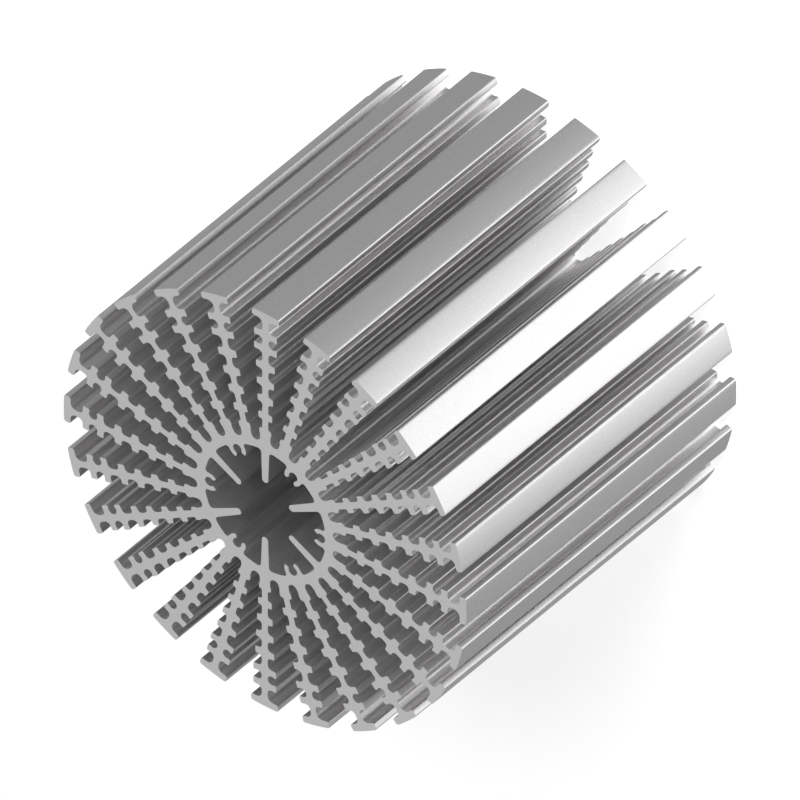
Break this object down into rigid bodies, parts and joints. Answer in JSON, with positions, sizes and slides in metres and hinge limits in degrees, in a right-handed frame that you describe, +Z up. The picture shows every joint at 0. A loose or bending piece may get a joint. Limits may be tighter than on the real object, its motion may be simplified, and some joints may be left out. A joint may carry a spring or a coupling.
{
  "type": "extruded heat sink",
  "caption": "Round length of aluminium extrusion: a tube with ribbed radial fins outside, plain fins and open screw channels inside, and both ends sawn square.",
  "frame": {"origin": "centre of the lower sawn end, on the extrusion's axis", "axes": "+Z up the extrusion's axis to the upper sawn end; +X through the middle of an outer fin that is in line with an inner fin"},
  "size_m": [0.1178, 0.1178, 0.1],
  "materials": {
    "extrusion": "bare extruded aluminium, satin, with sawn ends"
  },
  "bodies": {
    "root": {"heat_sink": "extrusion"}
  },
  "joints": []
}
